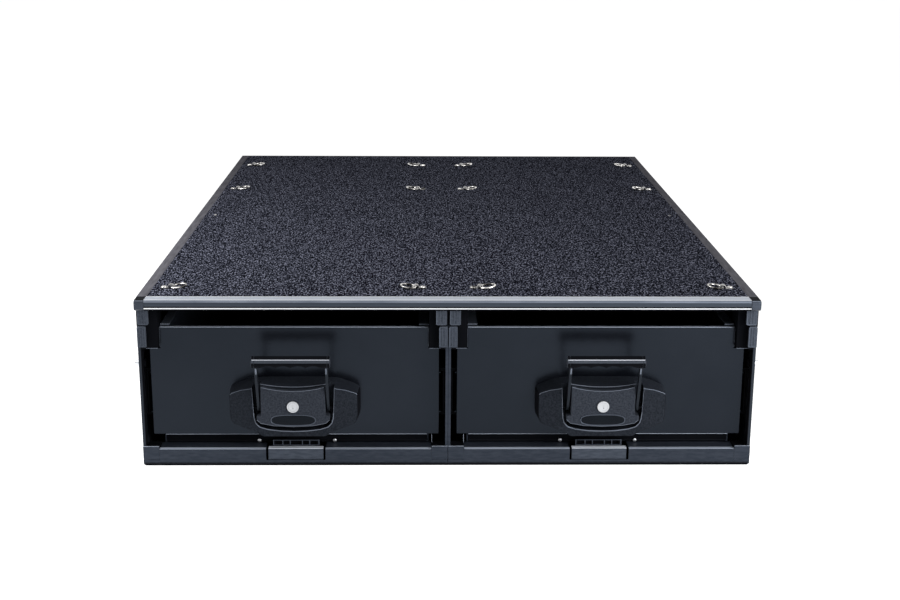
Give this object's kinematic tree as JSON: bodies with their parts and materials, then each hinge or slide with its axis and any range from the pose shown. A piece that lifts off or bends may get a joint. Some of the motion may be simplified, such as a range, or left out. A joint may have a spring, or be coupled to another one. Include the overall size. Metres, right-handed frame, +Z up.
{
  "type": "load-bed drawer unit",
  "caption": "Load-bed storage unit with two full-length drawers, swing handles that work latches, and a carpeted deck with folding tie-down rings.",
  "frame": {"origin": "centre of the footprint, on the surface the unit stands on", "axes": "+X across the two drawers to the right as seen from the front, +Y from the handles to the back, +Z up"},
  "size_m": [0.967, 1.3557, 0.2767],
  "materials": {
    "carpet": "charcoal loop carpet",
    "board": "plain plywood",
    "nosing": "dark anodised, bright edges",
    "trim": "dark anodised",
    "panel": "fine satin powder coat",
    "face": "satin black powder coat",
    "plastic": "moulded, fine grain",
    "bail": "moulded, satin",
    "zinc": "zinc plated",
    "chrome": "bright plated"
  },
  "bodies": {
    "cabinet": {"deck_carpet": "carpet", "deck_board": "board", "front_nosing": "nosing", "deck_trim_left": "trim", "deck_trim_right": "trim", "deck_trim_rear": "trim", "nosing_cap_left": "plastic", "nosing_cap_right": "plastic", "side_panel_left": "panel", "side_panel_right": "panel", "centre_panel_left": "panel", "centre_panel_right": "panel", "rear_panel": "panel", "base_pan_left": "panel", "base_pan_right": "panel", "sill_left": "panel", "sill_right": "panel", "strike_plate_left": "panel", "strike_plate_right": "panel", "side_bolt_left": "chrome", "side_bolt_right": "chrome", "guide_block_left_a": "plastic", "fixed_rail_left_a": "zinc", "guide_block_left_b": "plastic", "fixed_rail_left_b": "zinc", "guide_block_right_a": "plastic", "fixed_rail_right_a": "zinc", "guide_block_right_b": "plastic", "fixed_rail_right_b": "zinc", "tie_down_strip_front": "chrome", "tie_down_strip_middle": "chrome", "tie_down_strip_rear": "chrome"},
    "drawer_left": {"drawer_tray_left": "face", "drawer_face_left": "face", "handle_housing_left": "plastic"},
    "middle_rail_left_a": {"middle_rail_left_a": "zinc"},
    "middle_rail_left_b": {"middle_rail_left_b": "zinc"},
    "handle_bail_left": {"handle_bail_left": "bail"},
    "latch_bolt_left": {"latch_bolt_left": "plastic"},
    "lock_barrel_left": {"lock_barrel_left": "chrome"},
    "drawer_right": {"drawer_tray_right": "face", "drawer_face_right": "face", "handle_housing_right": "plastic"},
    "middle_rail_right_a": {"middle_rail_right_a": "zinc"},
    "middle_rail_right_b": {"middle_rail_right_b": "zinc"},
    "handle_bail_right": {"handle_bail_right": "bail"},
    "latch_bolt_right": {"latch_bolt_right": "plastic"},
    "lock_barrel_right": {"lock_barrel_right": "chrome"},
    "tie_ring_front_1": {"tie_ring_front_1": "chrome"},
    "tie_ring_front_2": {"tie_ring_front_2": "chrome"},
    "tie_ring_front_3": {"tie_ring_front_3": "chrome"},
    "tie_ring_front_4": {"tie_ring_front_4": "chrome"},
    "tie_ring_middle_1": {"tie_ring_middle_1": "chrome"},
    "tie_ring_middle_2": {"tie_ring_middle_2": "chrome"},
    "tie_ring_middle_3": {"tie_ring_middle_3": "chrome"},
    "tie_ring_middle_4": {"tie_ring_middle_4": "chrome"},
    "tie_ring_rear_1": {"tie_ring_rear_1": "chrome"},
    "tie_ring_rear_2": {"tie_ring_rear_2": "chrome"},
    "tie_ring_rear_3": {"tie_ring_rear_3": "chrome"},
    "tie_ring_rear_4": {"tie_ring_rear_4": "chrome"}
  },
  "joints": [
    {"name": "drawer_left_slide", "type": "slide", "parent": "cabinet", "child": "drawer_left", "axis": [0, -1, 0], "range_m": [0, 1.1]},
    {"name": "middle_rail_left_a_slide", "type": "slide", "parent": "cabinet", "child": "middle_rail_left_a", "axis": [0, -1, 0], "range_m": [0, 0.55]},
    {"name": "middle_rail_left_b_slide", "type": "slide", "parent": "cabinet", "child": "middle_rail_left_b", "axis": [0, -1, 0], "range_m": [0, 0.55]},
    {"name": "handle_bail_left_swing", "type": "hinge", "parent": "drawer_left", "child": "handle_bail_left", "pos_m": [-0.236, -0.6386, 0.09998], "axis": [1, 0, 0], "range_deg": [-18, 60]},
    {"name": "latch_bolt_left_lift", "type": "slide", "parent": "drawer_left", "child": "latch_bolt_left", "axis": [0, 0, 1], "range_m": [-0.004, 0.013]},
    {"name": "lock_barrel_left_turn", "type": "hinge", "parent": "drawer_left", "child": "lock_barrel_left", "pos_m": [-0.236, -0.6521, 0.10602], "axis": [0, 1, 0], "range_deg": [0, 90]},
    {"name": "drawer_right_slide", "type": "slide", "parent": "cabinet", "child": "drawer_right", "axis": [0, -1, 0], "range_m": [0, 1.1]},
    {"name": "middle_rail_right_a_slide", "type": "slide", "parent": "cabinet", "child": "middle_rail_right_a", "axis": [0, -1, 0], "range_m": [0, 0.55]},
    {"name": "middle_rail_right_b_slide", "type": "slide", "parent": "cabinet", "child": "middle_rail_right_b", "axis": [0, -1, 0], "range_m": [0, 0.55]},
    {"name": "handle_bail_right_swing", "type": "hinge", "parent": "drawer_right", "child": "handle_bail_right", "pos_m": [0.236, -0.6386, 0.09998], "axis": [1, 0, 0], "range_deg": [-18, 60]},
    {"name": "latch_bolt_right_lift", "type": "slide", "parent": "drawer_right", "child": "latch_bolt_right", "axis": [0, 0, 1], "range_m": [-0.004, 0.013]},
    {"name": "lock_barrel_right_turn", "type": "hinge", "parent": "drawer_right", "child": "lock_barrel_right", "pos_m": [0.236, -0.6521, 0.10602], "axis": [0, 1, 0], "range_deg": [0, 90]},
    {"name": "tie_ring_front_1_swing", "type": "hinge", "parent": "cabinet", "child": "tie_ring_front_1", "pos_m": [-0.427, -0.5686, 0.27205], "axis": [0, -1, 0], "range_deg": [0, 170]},
    {"name": "tie_ring_front_2_swing", "type": "hinge", "parent": "cabinet", "child": "tie_ring_front_2", "pos_m": [-0.0495, -0.5686, 0.27205], "axis": [0, 1, 0], "range_deg": [0, 170]},
    {"name": "tie_ring_front_3_swing", "type": "hinge", "parent": "cabinet", "child": "tie_ring_front_3", "pos_m": [0.0495, -0.5686, 0.27205], "axis": [0, -1, 0], "range_deg": [0, 170]},
    {"name": "tie_ring_front_4_swing", "type": "hinge", "parent": "cabinet", "child": "tie_ring_front_4", "pos_m": [0.427, -0.5686, 0.27205], "axis": [0, 1, 0], "range_deg": [0, 170]},
    {"name": "tie_ring_middle_1_swing", "type": "hinge", "parent": "cabinet", "child": "tie_ring_middle_1", "pos_m": [-0.427, 0.2459, 0.27205], "axis": [0, -1, 0], "range_deg": [0, 170]},
    {"name": "tie_ring_middle_2_swing", "type": "hinge", "parent": "cabinet", "child": "tie_ring_middle_2", "pos_m": [-0.0495, 0.2459, 0.27205], "axis": [0, 1, 0], "range_deg": [0, 170]},
    {"name": "tie_ring_middle_3_swing", "type": "hinge", "parent": "cabinet", "child": "tie_ring_middle_3", "pos_m": [0.0495, 0.2459, 0.27205], "axis": [0, -1, 0], "range_deg": [0, 170]},
    {"name": "tie_ring_middle_4_swing", "type": "hinge", "parent": "cabinet", "child": "tie_ring_middle_4", "pos_m": [0.427, 0.2459, 0.27205], "axis": [0, 1, 0], "range_deg": [0, 170]},
    {"name": "tie_ring_rear_1_swing", "type": "hinge", "parent": "cabinet", "child": "tie_ring_rear_1", "pos_m": [-0.427, 0.5359, 0.27205], "axis": [0, -1, 0], "range_deg": [0, 170]},
    {"name": "tie_ring_rear_2_swing", "type": "hinge", "parent": "cabinet", "child": "tie_ring_rear_2", "pos_m": [-0.0495, 0.5359, 0.27205], "axis": [0, 1, 0], "range_deg": [0, 170]},
    {"name": "tie_ring_rear_3_swing", "type": "hinge", "parent": "cabinet", "child": "tie_ring_rear_3", "pos_m": [0.0495, 0.5359, 0.27205], "axis": [0, -1, 0], "range_deg": [0, 170]},
    {"name": "tie_ring_rear_4_swing", "type": "hinge", "parent": "cabinet", "child": "tie_ring_rear_4", "pos_m": [0.427, 0.5359, 0.27205], "axis": [0, 1, 0], "range_deg": [0, 170]}
  ],
  "couplings": [
    {"joint": "middle_rail_left_a_slide", "follows": "drawer_left_slide", "ratio": 0.5},
    {"joint": "middle_rail_left_b_slide", "follows": "drawer_left_slide", "ratio": 0.5},
    {"joint": "latch_bolt_left_lift", "follows": "handle_bail_left_swing", "m_per_rad": 0.012},
    {"joint": "middle_rail_right_a_slide", "follows": "drawer_right_slide", "ratio": 0.5},
    {"joint": "middle_rail_right_b_slide", "follows": "drawer_right_slide", "ratio": 0.5},
    {"joint": "latch_bolt_right_lift", "follows": "handle_bail_right_swing", "m_per_rad": 0.012}
  ]
}
